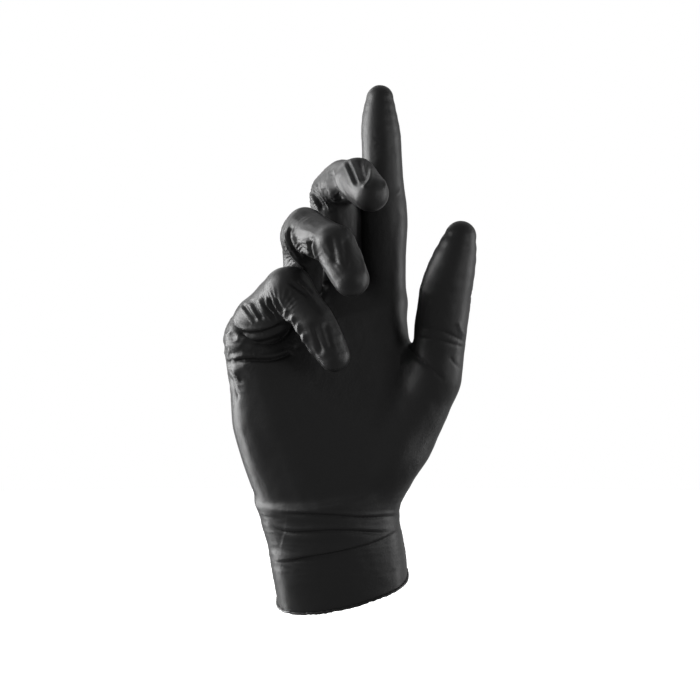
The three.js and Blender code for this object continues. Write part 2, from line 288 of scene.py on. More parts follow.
def hull_planes(pads, extra=()):
    """The outward unit normals and offsets of the faces of the hull of some round pads and extra points."""
    mesh = bmesh.new()
    for centre, radius, spread in pads:
        for offset in {-spread, spread}:
            ball = bmesh.ops.create_icosphere(mesh, subdivisions=3, radius=radius)
            bmesh.ops.translate(mesh, verts=ball["verts"], vec=Vector(centre) + Vector((0, offset, 0)))
    for point in extra:
        mesh.verts.new(point)
    bmesh.ops.delete(mesh, geom=mesh.faces[:], context="FACES_ONLY")
    bmesh.ops.convex_hull(mesh, input=mesh.verts[:])
    mesh.normal_update()
    middle = np.mean([v.co for v in mesh.verts], axis=0)
    found = {}
    for face in mesh.faces:
        if face.calc_area() < SLIVER:
            continue
        normal, point = np.array(face.normal), np.array(face.verts[0].co)
        if normal @ (point - middle) < 0:
            normal = -normal
        found[tuple(np.round(normal, 2))] = (normal, normal @ point)
    mesh.free()
    normals, offsets = zip(*found.values())
    return np.array(normals, np.float32), np.array(offsets, np.float32)


def hull_distance(p, planes):
    normals, offsets = planes
    flat = p.reshape(-1, 3)
    best = np.full(len(flat), -1e3, np.float32)
    for normal, offset in zip(normals, offsets):
        np.maximum(best, flat @ normal - offset, out=best)
    return best.reshape(p.shape[:-1])


def melt(a, b, reach):
    """The union of two fields, rounded where they are within reach of each other."""
    h = np.maximum(reach - np.abs(a - b), 0) / reach
    return np.minimum(a, b) - h * h * reach / 4


def melt_clear(a, b, reach, other):
    """The same, but with no rounding close to a third field, so that it stays a separate layer."""
    return melt(a, b, np.maximum(reach * smoothstep(*MELT_FREE, other), 0.01).astype(np.float32))


def oval_point(height, half_width, half_depth, angle):
    return FOREARM * height + ACROSS * half_width * math.cos(angle) + BACK * half_depth * math.sin(angle)


def cuff_distance(p):
    heights, widths, depths = np.array(CUFF_SECTIONS, float).T
    h = p @ FOREARM.astype(np.float32)
    a, b = np.interp(h, heights, widths), np.interp(h, heights, depths)
    x, y = p @ ACROSS.astype(np.float32), p @ BACK.astype(np.float32)
    u, v = np.abs(x / a) + 1e-6, np.abs(y / b) + 1e-6
    n = np.interp(h, *CUFF_SQUARENESS)
    inner = (u**n + v**n) ** (1 / n)
    slope = np.hypot((u / inner) ** (n - 1) / a, (v / inner) ** (n - 1) / b)
    tube = (inner - 1) / slope
    return np.maximum(tube, h - CUFF_TOP).astype(np.float32)


def soften(values, rounds):
    """Blurs a field, which rounds its edges."""
    for _ in range(rounds):
        for axis in range(3):
            v = np.moveaxis(values, axis, 0)
            v[1:-1] = (v[:-2] + 2 * v[1:-1] + v[2:]) / 4
    return values


def refine(values):
    """A field on a grid twice as fine."""
    for axis in range(3):
        v = np.moveaxis(values, axis, 0)
        fine = np.empty((2 * len(v) - 1, *v.shape[1:]), np.float32)
        fine[::2], fine[1::2] = v, (v[:-1] + v[1:]) / 2
        values = np.moveaxis(fine, 0, axis)
    return np.ascontiguousarray(values)


def kept_apart(a, b):
    """Field a, pushed back from b where the two would come closer than the gap between layers of film."""
    return np.maximum(a, (a - b + APART) / 2)


def raise_palm(p):
    """The palm, the cuff, the ball of the thumb and its web, from a grid twice as coarse."""
    palm_base = [oval_point(*PALM_BASE, a) for a in np.linspace(0, 2 * math.pi, 24, endpoint=False)]
    hand = melt(hull_distance(p, hull_planes(PALM_PADS, palm_base)), cuff_distance(p), CUFF_MELT)
    knuckle = HAND["thumb"]["bones"][0]
    ball = cone_distance(p, THUMB_ROOT, knuckle["start"], THUMB_ROOT_RADIUS, knuckle["radii"][0])
    hand = melt(hand, ball, BALL_MELT)
    hand = melt(hand, hull_distance(p, hull_planes(WEB_PADS)), WEB_MELT)
    return refine(soften(hand, 1))


def joint_melt(before, after):
    """How far two bars melt together: the more, the sharper the bend between them."""
    return 0.3 + min(3.0, 3.5 * (1 - before @ after))


def bar_melt(before, after):
    return joint_melt(unit(before[1] - before[0]), unit(after[1] - after[0]))


def bar_chain(p, bars):
    chain = cone_distance(p, *bars[0])
    for before, after in zip(bars[:-1], bars[1:]):
        chain = melt(chain, cone_distance(p, *after), bar_melt(before, after))
    return chain


def raise_fingers(field, p):
    """For each digit, the fields of its first bar and of its other bars."""
    near, far = {}, {}
    for name, finger in HAND.items():
        box = field.box_round([b[k] for b in finger["bones"] for k in ("start", "end")], FINGER_MARGIN)
        near[name], far[name] = (np.full(field.shape, FAR_OFF, np.float32) for _ in range(2))
        near[name][box] = soften(cone_distance(p[box], *finger["bars"][0]), 1)
        far[name][box] = soften(bar_chain(p[box], finger["bars"][1:]), 1)
    return near, far


def union_of(fields):
    return np.minimum.reduce(list(fields))


def raise_hand():
    """The grid, the field of the whole hand, and the field of the palm."""
    low, high = (np.array(v) / MM for v in CAD_BOX)
    field = Field(low - GRID_MARGIN, high + GRID_MARGIN, STEP)
    everywhere = tuple(slice(0, n) for n in field.shape)
    palm = raise_palm(field.places(everywhere, every=2))
    near, far = raise_fingers(field, field.places(everywhere))
    others = {name: union_of(np.minimum(near[n], far[n]) for n in HAND if n != name) for name in HAND}
    roots = {name: kept_apart(near[name], others[name]) for name in HAND}
    ends = {name: kept_apart(kept_apart(far[name], others[name]), palm) for name in HAND}
    base = kept_apart(palm, union_of(far.values()))
    end_layer = union_of(ends.values())
    whole = base
    for name in HAND:
        rooted = melt_clear(roots[name], base, ROOT_MELT, end_layer)
        layers = union_of(np.minimum(roots[n], ends[n]) for n in HAND if n != name)
        bent = melt_clear(roots[name], ends[name], bar_melt(*HAND[name]["bars"][:2]), layers)
        whole = np.minimum(whole, np.minimum(rooted, bent))
    return field, whole, palm


# ---- Meshing the field


CORNERS = [(a, b, c) for a in (0, 1) for b in (0, 1) for c in (0, 1)]


def net_points(values, active):
    """In each active cell, the mean of the places where the surface crosses the cell's edges."""
    level = {c: values[active[:, 0] + c[0], active[:, 1] + c[1], active[:, 2] + c[2]] for c in CORNERS}
    total, hits = np.zeros((len(active), 3)), np.zeros(len(active))
    for a in CORNERS:
        for axis in range(3):
            if a[axis]:
                continue
            b = tuple(1 if k == axis else a[k] for k in range(3))
            crossed = (level[a] < 0) != (level[b] < 0)
            t = np.where(crossed, level[a] / np.where(crossed, level[a] - level[b], 1), 0)
            place = np.tile(np.array(a, float), (len(active), 1))
            place[:, axis] += t
            total += place * crossed[:, None]
            hits += crossed
    return active + total / hits[:, None]


def net_faces(inside, index, axis):
    """A face across each edge of the grid, along one axis, that the surface crosses."""
    n = index.shape
    u, v = [k for k in range(3) if k != axis]
    first = inside.take(range(0, inside.shape[axis] - 1), axis)
    second = inside.take(range(1, inside.shape[axis]), axis)
    edges = np.argwhere(first != second)
    edges = edges[(edges[:, u] > 0) & (edges[:, v] > 0) & (edges[:, u] < n[u]) & (edges[:, v] < n[v])]
    ring = []
    for du, dv in ((1, 1), (0, 1), (0, 0), (1, 0)):
        cell = edges.copy()
        cell[:, u] -= du
        cell[:, v] -= dv
        ring.append(index[tuple(cell.T)])
    quads = np.stack(ring, 1)
    outward = first[tuple(edges.T)]
    if axis == 1:
        outward = ~outward
    quads[~outward] = quads[~outward][:, ::-1]
    return quads


def surface_net(field, values):
    """Points and four-sided faces of the level 0 surface."""
    inside = values < 0
    n = np.array(values.shape) - 1
    count = sum(inside[a:n[0] + a, b:n[1] + b, c:n[2] + c].astype(np.int8) for a, b, c in CORNERS)
    active = np.argwhere((count > 0) & (count < len(CORNERS)))
    index = np.full(tuple(n), -1, np.int32)
    index[tuple(active.T)] = np.arange(len(active))
    points = field.low + field.step * net_points(values, active)
    faces = np.concatenate([net_faces(inside, index, axis) for axis in range(3)])
    return points, faces[(faces >= 0).all(1)]


class Skin:
    """Points, four-sided faces, and what is worked out from them."""

    def __init__(self, points, faces):
        self.points, self.faces = points, faces
        pairs = np.concatenate([faces[:, [k, (k + 1) % 4]] for k in range(4)])
        self.pairs = np.unique(np.sort(pairs, 1), axis=0)
        self.degree = np.bincount(self.pairs.ravel(), minlength=len(points)).astype(float)

    def spread(self, values):
        """The mean of each point's neighbours."""
        a, b = self.pairs.T
        out = np.empty_like(values)
        for k in range(values.shape[1]):
            total = np.bincount(a, values[b, k], len(values)) + np.bincount(b, values[a, k], len(values))
            out[:, k] = total / np.maximum(self.degree, 1)
        return out

    def normals(self):
        p, f = self.points, self.faces
        cross = np.cross(p[f[:, 2]] - p[f[:, 0]], p[f[:, 3]] - p[f[:, 1]])
        out = np.zeros_like(p)
        for k in range(4):
            for axis in range(3):
                out[:, axis] += np.bincount(f[:, k], cross[:, axis], len(p))
        return out / np.maximum(np.linalg.norm(out, axis=1), 1e-9)[:, None]


def settle(skin, field, values, rounds=6):
    """Evens out the skin's points and puts them back on the surface."""
    for _ in range(rounds):
        skin.points += 0.5 * (skin.spread(skin.points) - skin.points)
        for _ in range(2):
            distance, slope = field.sample(values, skin.points)
            size = np.maximum((slope**2).sum(1), 0.3)
            skin.points -= slope * (distance / size)[:, None]


def border(faces):
    """The edges that only one face has, each in that face's direction."""
    edges = np.concatenate([faces[:, [k, (k + 1) % 4]] for k in range(4)])
    _, where, times = np.unique(np.sort(edges, 1), axis=0, return_index=True, return_counts=True)
    return edges[where[times == 1]]


def trim_rim(points, faces):
    """Drops what lies below the rim, and lays the cut edge on it."""
    height = points @ FOREARM
    kept = faces[(height[faces] > 0).all(1)]
    used = np.unique(kept)
    rim = np.unique(border(kept))
    points = points.copy()
    points[rim] -= FOREARM * height[rim][:, None]
    number = np.full(len(points), -1)
    number[used] = np.arange(len(used))
    return points[used], number[kept]


# ---- Which part of the hand each point is on


def bone_distance(points, bone):
    return cone_distance(points, bone["start"], bone["end"], *bone["radii"])


DIGIT_REACH = 12.0  # a digit's skin lies within this distance of its bones
OTHER_LAYER = 50.0  # added to a bone's distance where the palm's surface is nearer


def digit_of(points, palm_distance):
    """For each point, the name of its digit, or "palm"."""
    names = np.array([*HAND, "palm"])
    distances, in_web = [], []
    for finger in HAND.values():
        first, *rest = finger["bones"]
        out = (points - first["start"]) @ first["along"]
        root = bone_distance(points, first)
        root += np.where((out > finger["free"]) & (palm_distance < root), OTHER_LAYER, 0)
        end = np.minimum.reduce([bone_distance(points, b) for b in rest])
        end += np.where(palm_distance < end, OTHER_LAYER, 0)
        distances.append(np.minimum(root, end))
        in_web.append((root < end) & (out < finger["web"]))
    nearest = np.argmin(distances, 0)
    every = np.arange(len(points))
    found = (np.min(distances, 0) < DIGIT_REACH) & ~np.array(in_web)[nearest, every]
    return names[np.where(found, nearest, len(HAND))]


# ---- Seen from the front


def seen_from_front(points):
    """Where each point seems to be in the hand's middle plane, from straight in front."""
    scale = FACE_DISTANCE / (FACE_DISTANCE + points[:, 1] + FACE_PLANE)
    return EYE + (points[:, [0, 2]] - EYE) * scale[:, None]


SIGHT_CELL = 1.2  # points within one such square hide each other


def facing_front(points, normals):
    """Near 1 where a point can be seen from the front, and 0 where it is hidden."""
    places = seen_from_front(points)
    cell = np.floor((places - places.min(0)) / SIGHT_CELL).astype(int)
    key = cell[:, 0] * (cell[:, 1].max() + 1) + cell[:, 1]
    front = np.full(key.max() + 1, np.inf)
    np.minimum.at(front, key, points[:, 1])
    near = smoothstep(5.0, 3.0, points[:, 1] - front[key])
    return near * smoothstep(-0.05, 0.25, -normals[:, 1])


def rounded(line, count=40):
    """The points of a line, resampled along a smooth curve through its corners."""
    line = np.asarray(line, float)
    for _ in range(3):
        if len(line) < 3:
            break
        middle = np.concatenate([0.75 * line[:-1] + 0.25 * line[1:], 0.25 * line[:-1] + 0.75 * line[1:]], 1)
        line = np.concatenate([line[:1], middle.reshape(-1, 2), line[-1:]])
    length = np.concatenate([[0], np.cumsum(np.linalg.norm(np.diff(line, axis=0), axis=1))])
    at = np.linspace(0, length[-1], count)
    return np.stack([np.interp(at, length, line[:, k]) for k in (0, 1)], 1)


def from_line(places, line):
    """Signed distance to a line, positive on its left, and the share of its length passed."""
    best = np.full(len(places), 1e9)
    side, share = np.zeros(len(places)), np.zeros(len(places))
    for k, (a, b) in enumerate(zip(line[:-1], line[1:])):
        ab = b - a
        t = (places - a) @ ab / (ab @ ab)
        off = places - a - np.clip(t, 0, 1)[:, None] * ab
        distance = np.linalg.norm(off, axis=1)
        closer = distance < best
        best[closer] = distance[closer]
        side[closer] = np.sign(ab[0] * off[closer, 1] - ab[1] * off[closer, 0])
        share[closer] = (k + np.clip(t[closer], 0, 1)) / (len(line) - 1)
    return best * side, share


# ---- Folds that are drawn as lines on the front

# Each fold: where it is, its form, its height and width, and the line it follows. A line is a thin valley. A
# crease is a narrow valley with a raised lip on its left. A groove is a broad valley between two lips, and a
# plain valley has none. A ridge is a pinched crest. A step is the edge of a layer that lies over its
# neighbour, raised on the left.
FOLDS = (
    # the wrist and the cuff
    ("palm", "step", 1.3, 6.0, ((-32, 16.4), (-29, 14.4), (-23, 14.9), (-15, 16.7), (-3, 18.6),
                                (7, 21.1), (13, 22.8), (21, 26.4), (26, 29.6))),
    ("palm", "crease", 1.1, 1.1, ((-33, 32), (-29, 28), (-22, 26.5), (-11, 27.3), (1, 27.8),
                                  (16, 26.7), (23, 27.5))),
    ("palm", "crease", 1.0, 0.9, ((-29, 35.2), (-15, 34.7), (-3, 34.2), (10, 33), (26, 34.6))),
    # the palm under the little finger, and its edge
    ("palm", "crease", 1.7, 1.3, ((-53, 101.6), (-42, 102.4), (-32, 102), (-24, 104.6), (-18, 109.4))),
    ("palm", "ridge", 0.6, 1.1, ((-52, 108.6), (-48, 109), (-44.5, 107.6))),
    ("palm", "ridge", 0.9, 1.2, ((-51, 99), (-47.8, 98.8), (-45, 92.5))),
    ("palm", "line", 0.5, 1.2, ((-50, 96.5), (-47.5, 91), (-45.5, 84))),
    # the little finger
    ("little", "groove", 1.0, 1.7, ((-47.4, 116), (-42, 113.4), (-33, 114.4), (-24.3, 118.6))),
    ("little", "line", 0.5, 1.2, ((-49, 110), (-40, 109.4), (-31, 111), (-22, 114.6))),
    ("little", "groove", 1.0, 1.3, ((-44, 127.4), (-41, 123), (-37.6, 119.4))),
    ("little", "groove", 1.0, 1.2, ((-40, 129), (-38, 124), (-34.6, 119.6))),
    ("little", "groove", 1.2, 1.3, ((-36, 131), (-34.2, 125.4), (-29, 119.8))),
    ("little", "groove", 1.0, 1.2, ((-32.6, 130.6), (-31, 124.6), (-26, 119.8))),
    ("little", "groove", 0.6, 1.1, ((-29.4, 130), (-27.6, 125.4), (-24.4, 122))),
    ("little", "ridge", 1.2, 1.0, ((-24.3, 125), (-25.6, 122.6), (-24.3, 120.2), (-22.2, 119.4))),
    ("little", "ridge", 1.1, 1.0, ((-22.6, 122.6), (-21.4, 118.6), (-18.4, 113.4))),
    ("little", "ridge", 1.0, 1.0, ((-20, 119.4), (-18.6, 114.6), (-15.8, 109.4))),
    ("little", "ridge", 0.9, 1.0, ((-17.4, 115.4), (-15.8, 109.6), (-12.4, 103.6))),
    ("little", "valley", 0.8, 1.8, ((-13.4, 119.6), (-11.4, 112), (-9.2, 103.6))),
    ("little", "valley", 0.6, 1.5, ((-8, 119.6), (-6.2, 112), (-4.8, 105.6))),
    ("little", "groove", 0.6, 1.3, ((-24.4, 137), (-20, 134), (-15, 130.4))),
    ("little", "groove", 0.5, 1.2, ((-20.6, 137.6), (-17, 135), (-12.6, 131))),
    ("little", "ridge", 0.5, 1.1, ((-9, 128.6), (-4, 121), (0, 110))),
    # the ring finger
    ("ring", "ridge", 1.0, 0.9, ((-23, 163), (-25.6, 158), (-24.4, 151.7), (-19.7, 145.1), (-14.6, 142))),
    ("ring", "groove", 0.9, 0.9, ((-22, 161.6), (-23.8, 157), (-22.2, 152), (-17.4, 146.4))),
    ("ring", "ridge", 0.9, 0.8, ((-21.6, 160.6), (-22, 156), (-19.6, 151.4), (-15.2, 147.6))),
    ("ring", "groove", 0.6, 0.8, ((-20.6, 157.4), (-20, 154), (-17.2, 150.8), (-14.4, 149.4))),
    ("ring", "ridge", 0.9, 0.8, ((-20.8, 154.2), (-17.6, 154.4), (-14.2, 154), (-12.8, 156.6))),
    ("ring", "groove", 1.3, 1.2, ((-13.6, 156), (-14.6, 151.6), (-12.4, 146))),
    ("ring", "ridge", 0.9, 0.8, ((-12.6, 154.6), (-12.2, 150.1), (-10.4, 145.6))),
    ("ring", "valley", 0.8, 2.2, ((-5.6, 158), (-4.4, 151), (-3.2, 142.6))),
    ("ring", "valley", 0.7, 1.8, ((0.4, 156.6), (1.4, 149.6), (2, 141.4))),
    ("ring", "ridge", 0.6, 0.8, ((2.4, 160), (7.6, 150.4), (10.1, 139))),
    # the middle finger
    ("middle", "groove", 1.2, 1.3, ((1.4, 190), (3.4, 186), (6.4, 178.4))),
    ("middle", "valley", 1.5, 1.7, ((6.6, 190.8), (8.2, 185), (9.4, 180))),
    ("middle", "valley", 0.7, 1.1, ((10.4, 189.4), (10.9, 186), (10.6, 182.6))),
    ("middle", "ridge", 1.1, 1.0, ((12, 187.4), (12.4, 182.3), (10.4, 178.6), (7.6, 178.6))),
    ("middle", "ridge", 0.6, 0.9, ((13.6, 190), (17.6, 183), (18.8, 176))),
    ("middle", "groove", 1.5, 1.6, ((-3.6, 187), (-5.6, 181.6), (-2.8, 175.7), (1, 171))),
    ("middle", "ridge", 1.0, 1.0, ((-7.4, 182), (-6.4, 177), (-2.6, 171))),
    ("middle", "ridge", 1.2, 1.0, ((-13, 180.6), (-10, 176.4), (-7, 171.6), (-5, 166.6))),
    ("middle", "groove", 1.2, 1.3, ((-14.4, 177.4), (-11.4, 172.6), (-8.4, 167.6))),
    ("middle", "ridge", 0.8, 0.9, ((-9.8, 180), (-7.8, 174.6), (-3.6, 168.6))),
    # the thumb and its web
    ("thumb", "line", 0.7, 1.2, ((32, 116.6), (42, 115.8), (51.6, 111.2), (55, 109.2))),
    ("thumb", "line", 0.6, 1.1, ((31, 112.7), (41, 111.2), (47.5, 109.6), (55, 107.4))),
    ("thumb", "ridge", 0.5, 1.4, ((50, 120), (51.4, 115.6), (53.4, 112.6))),
    ("palm", "line", 1.0, 1.5, ((27.5, 110), (32, 103.4), (38.3, 99.3), (45, 93))),
    ("palm", "line", 0.5, 1.1, ((25.4, 106), (24.6, 101), (25.8, 97))),
    ("thumb", "line", 0.5, 1.1, ((46.5, 104), (49, 100.6), (52, 98))),
)


def fold_height(form, height, width, distance, share):
    """How far a fold raises the skin at a signed distance from its line; it fades towards the line's ends."""
    ends = smoothstep(0, 0.22, share) * smoothstep(1, 0.78, share)
    near = np.abs(distance)
    if form == "line":
        return -height * ends * np.exp(-near / (0.5 * width))
    if form == "crease":
        valley = -np.exp(-near / (0.6 * width))
        lip = 0.5 * np.exp(-(((distance - 1.4 * width) / (0.9 * width)) ** 2))
        return height * ends * (valley + lip)
    if form == "groove":
        lips = 0.45 * np.exp(-(((near - 1.15 * width) / (0.5 * width)) ** 2))
        return height * ends * (lips - np.exp(-((near / (0.62 * width)) ** 1.5)))
    if form == "valley":
        return -height * ends * np.exp(-((near / (0.7 * width)) ** 2))
    if form == "ridge":
        return height * ends * np.exp(-((near / (0.75 * width)) ** 1.3))
    over = smoothstep(-0.5, 0.5, distance) * np.exp(-np.maximum(distance, 0) / width)
    under = 0.5 * np.exp(-np.abs(distance + 0.9) / 0.8)
    return height * ends * (over - under)


def drawn_folds(points, normals, digits):
    places = seen_from_front(points)
    front = facing_front(points, normals)
    heights = np.zeros(len(points))
    for where, form, height, width, corners in FOLDS:
        line = rounded(corners)
        reach = 4 * width + 2
        near = (places > line.min(0) - reach).all(1) & (places < line.max(0) + reach).all(1) & (front > 0)
        near &= (digits == where) | (digits == "palm")
        chosen = np.flatnonzero(near)
        distance, share = from_line(places[chosen], line)
        heights[chosen] += fold_height(form, height, width, distance, share) * front[chosen]
    return heights


# ---- Folds that gather inside a bent joint

# Each fan: the finger, the number of its joint, how many folds go round, their height and how far they reach.
FANS = (
    ("middle", 1, 19, 0.55, 19),
    ("middle", 2, 15, 0.35, 13),
    ("ring", 1, 19, 0.65, 19),
    ("ring", 2, 17, 0.45, 15),
    ("ring", 0, 13, 0.35, 20),
    ("little", 1, 17, 0.6, 17),
    ("little", 2, 13, 0.25, 11),
    ("little", 0, 15, 0.35, 22),
    ("index", 1, 9, 0.16, 13),
    ("index", 2, 9, 0.14, 11),
    ("thumb", 1, 11, 0.18, 14),
)


def fan_folds(points, digits):
    heights = np.zeros(len(points))
    for n, (name, number, folds, height, reach) in enumerate(FANS):
        finger = HAND[name]
        bone = finger["bones"][number]
        before = finger["bones"][number - 1]["along"] if number else np.array([0, 0, 1.0])
        along = unit(before + bone["along"])
        inner = unit(np.cross(finger["hinge"], along))
        if inner @ (bone["along"] - before) < 0:
            inner = -inner
        centre = bone["start"] + inner * bone["radii"][0] * 0.9
        off = points - centre
        u, v = off @ along, -(off @ inner)
        side = off @ finger["hinge"]
        angle = np.arctan2(u, v + 2.0)
        wander = 0.5 * wave_noise(points, 14, 70 + n)
        crest = np.cos(angle * folds + wander * 2.6 + 0.05 * np.abs(side))
        ridged = 1 - 2 * np.abs(crest) ** 0.7
        strength = np.clip(0.55 + 0.6 * wave_noise(points, 9, 90 + n), 0, 1.4)
        distance = np.linalg.norm(off, axis=1)
        fade = smoothstep(reach, 0.25 * reach, distance) * smoothstep(-0.2, 0.5, v / bone["radii"][0] + 0.4)
        mine = (digits == name) | ((digits == "palm") & (number == 0))
        heights += np.where(mine, height * ridged * strength * fade, 0)
    return heights


# Each flute: the finger, the number of its bone, and the folds' height.
FLUTES = (
    ("ring", 1, 0.1), ("ring", 2, 0.14), ("little", 1, 0.1), ("little", 2, 0.14), ("middle", 1, 0.08),
    ("middle", 2, 0.08), ("middle", 0, 0.05), ("index", 0, 0.03), ("index", 1, 0.03), ("thumb", 0, 0.03),
)
FLUTES_ROUND = 9  # how many folds go round a finger


def long_flutes(points, digits):
    """Shallow folds along the finger bones, where the film is drawn tight over a bent finger."""
    heights = np.zeros(len(points))
    for name, number, height in FLUTES:
        finger = HAND[name]
        bone = finger["bones"][number]
        off = points - bone["start"]
        t = off @ bone["along"] / bone["length"]
        across = off @ finger["hinge"]
        up = off @ np.cross(finger["hinge"], bone["along"])
        angle = np.arctan2(across, up)
        crest = np.cos(FLUTES_ROUND * angle + 1.6 * wave_noise(points, 22, 7 + number))
        strength = np.clip(0.4 + 0.8 * wave_noise(points, 8, 17 + number), 0, 1.5)
        ridged = 1 - 2 * np.abs(crest) ** 0.8
        fade = smoothstep(-0.1, 0.25, t) * smoothstep(1.15, 0.75, t)
        heights += np.where(digits == name, height * ridged * strength * fade, 0)
    return heights


def loose_film(points):
    """Broad swells and small crumples, strongest at the little finger's side of the palm and at the wrist."""
    x, z = points[:, 0], points[:, 2]
    edge = smoothstep(-38, -48, x) * smoothstep(84, 98, z) * smoothstep(124, 112, z)
    up = points @ FOREARM
    wrist = smoothstep(6, 16, up) * smoothstep(58, 40, up)
    ridges = 1 - 2 * np.abs(wave_noise(points * (1, 1, 1.5), 9, 3)) ** 0.8
    around = 1 - 2 * np.abs(wave_noise(points * (0.35, 0.35, 1.6), 8, 5)) ** 0.8
    behind = smoothstep(-12, 8, points[:, 1])
    heights = 0.34 * edge * ridges + (0.05 + 0.22 * behind) * wrist * around
    heights += 0.05 * wave_noise(points, 16, 11) + 0.025 * wave_noise(points, 6, 12)
    return heights


# Swells, in millimetres: centre, radius and height. A hollow has a height below 0.
SWELLS = (
    # the little finger and the edge of the palm under it
    ((-44, -24, 116), 13, 2.2),
    ((-42, -27, 127), 8, 2.4),
    ((-46, -26, 121), 6, 0.9),
    ((-27, -32, 134), 9, 0.9),
    ((-25, -38, 143), 6, -2.2),
    ((-34, -32, 135), 6, 1.2),
    ((-30, -22, 139), 6, -1.4),
    # the ring finger
    ((-25, -38, 164), 7, -1.3),
    ((-27, -32, 145), 6, -1.2),
    ((-27, -38, 153), 6, 0.7),
    ((-28, -22, 143), 5, -1.5),
    # the middle finger
    ((-10, -14, 186), 7, -3.2),
    ((-14, -16, 171), 6, 2.2),
    ((1, -16, 189), 6, 0.9),
    ((3, -22, 190), 7, 0.9),
    ((9, -40, 186), 7, 0.8),
    ((7, -10, 150), 9, 1.5),
    ((6, -12, 165), 9, 1.8),
    # the index finger
    ((27, -6, 164), 14, 1.5),
    ((10, -8, 208), 8, 0.6),
    ((25, -9, 214), 9, -0.6),
    # the thumb and its ball
    ((34, -27, 136), 16, 0.8),
    ((32, -23, 118), 8, 0.7),
    ((57, -28, 142), 16, -0.6),
    ((56, -24, 112), 9, -0.6),
    ((54, -20, 94), 10, -2.0),
    ((33, -10, 52), 9, -5.0),
    ((33, -20, 51), 8, -1.6),
    # the palm and the wrist
    ((0, -22, 92), 22, -1.6),
    ((16, -24, 66), 15, 0.8),
    ((-34, -26, 74), 15, 0.6),
    ((-44, -14, 62), 16, 0.7),
    ((-38, -10, 36), 8, -0.9),
    ((29, -4, 18), 12, 0.8),
)


def swells(points):
    heights = np.zeros(len(points))
    for centre, radius, height in SWELLS:
        heights += height * np.exp(-(((points - centre) / radius) ** 2).sum(1))
    return heights


def lift_rim(points):
    """The film is longer at the front than at the thumb's side, where its rim is drawn up."""
    up = points @ FOREARM
    lift = RIM_LIFT * smoothstep(-12, 32, points @ ACROSS) * smoothstep(16, 0, up)
    return points + FOREARM * lift[:, None]


def rim_fade(points):
    """0 at the rim, so that the film meets its bead."""
    return smoothstep(0.5, 5, points @ FOREARM)


def fold(skin, palm_distance):
    """Moves the skin's points in and out to make every fold."""
    digits = digit_of(skin.points, palm_distance)
    skin.points += skin.normals() * (swells(skin.points) * rim_fade(skin.points))[:, None]
    normals = skin.normals()
    for _ in range(4):
        normals = skin.spread(normals)
    normals /= np.linalg.norm(normals, axis=1)[:, None]
    heights = drawn_folds(skin.points, normals, digits)
    heights += fan_folds(skin.points, digits) + long_flutes(skin.points, digits) + loose_film(skin.points)
    skin.points += normals * (heights * rim_fade(skin.points))[:, None]
    skin.points = lift_rim(skin.points)
    return digits


# ---- Cutting the skin into pieces


def half_space(point, direction):
    point, direction = np.asarray(point, float), unit(direction)
    return lambda p: (p - point) @ direction


def piece_of(name, bodies, way, nodes, span=None):
    return {"name": f"{name}_skin", "bodies": bodies, "way": way, "nodes": nodes, "span": span}


# Where along its first and second bone each finger is cut, as shares of the bone's length.
CUT_SHARES = {"index": (0.6, 0.5), "middle": (0.6, 0.5), "ring": (0.6, 0.5), "little": (0.62, 0.6)}


def finger_pieces(name):
    """The three pieces of one finger, from its root, and the tests for what lies past its two cuts."""
    bones = HAND[name]["bones"]
    cuts = [
        half_space(bone["start"] + bone["along"] * bone["length"] * share, bone["along"])
        for bone, share in zip(bones, CUT_SHARES[name])
    ]
    first, second, third = (bone["along"] for bone in bones)
    ways = (first, unit(first + second), unit(second + third))
    bodies = ("palm", f"{name}_proximal", f"{name}_middle", f"{name}_tip")
    return [
        piece_of(f"{name}_{joint}", bodies[k:k + 2], ways[k], (f"{name}_{joint}_film", bodies[k + 1]))
        for k, joint in enumerate(FINGER_JOINTS)
    ], cuts


def bone_number(points, bones):
    return np.argmin([bone_distance(points, b) for b in bones], axis=0)


# The thumb turns about its root across the web, above WEB_START, and across the ball, below it. Its knuckle
# piece starts at KNUCKLE_START, takes in the part of the palm's film right of and below KNUCKLE_CORNER, and
# reaches the web's side only above WEB_TOP or where the web's blend has ended.
WEB_WAY = (1, 0, -0.06)
BALL_WAY = (25, 0, 13.7)
WEB_START = np.array((23.3, 0, 75.0))
WEB_END = np.array((27.9, 0, 75.0))
WEB_MARGIN = 0.3
WEB_TOP = 118
KNUCKLE_WAY = (0.85, 0, 0.52)
KNUCKLE_START = (33.5, 0, 114.0)
KNUCKLE_CORNER = (31, 116)
THUMB_CUT_SHARE = 0.86
WRIST_HEIGHTS = (12.0, 50.0)


def finger_cuts(name, centres, face_digits):
    """The pieces of one finger, from its tip, each with the faces it may have."""
    (root, middle, tip), (first, second) = finger_pieces(name)
    mine = face_digits == name
    number = bone_number(centres, HAND[name]["bones"])
    beyond_first = (number > 0) | (first(centres) > 0)
    beyond_second = (number > 1) | ((number > 0) & (second(centres) > 0))
    return [(tip, mine & beyond_second), (middle, mine & beyond_first), (root, mine)]


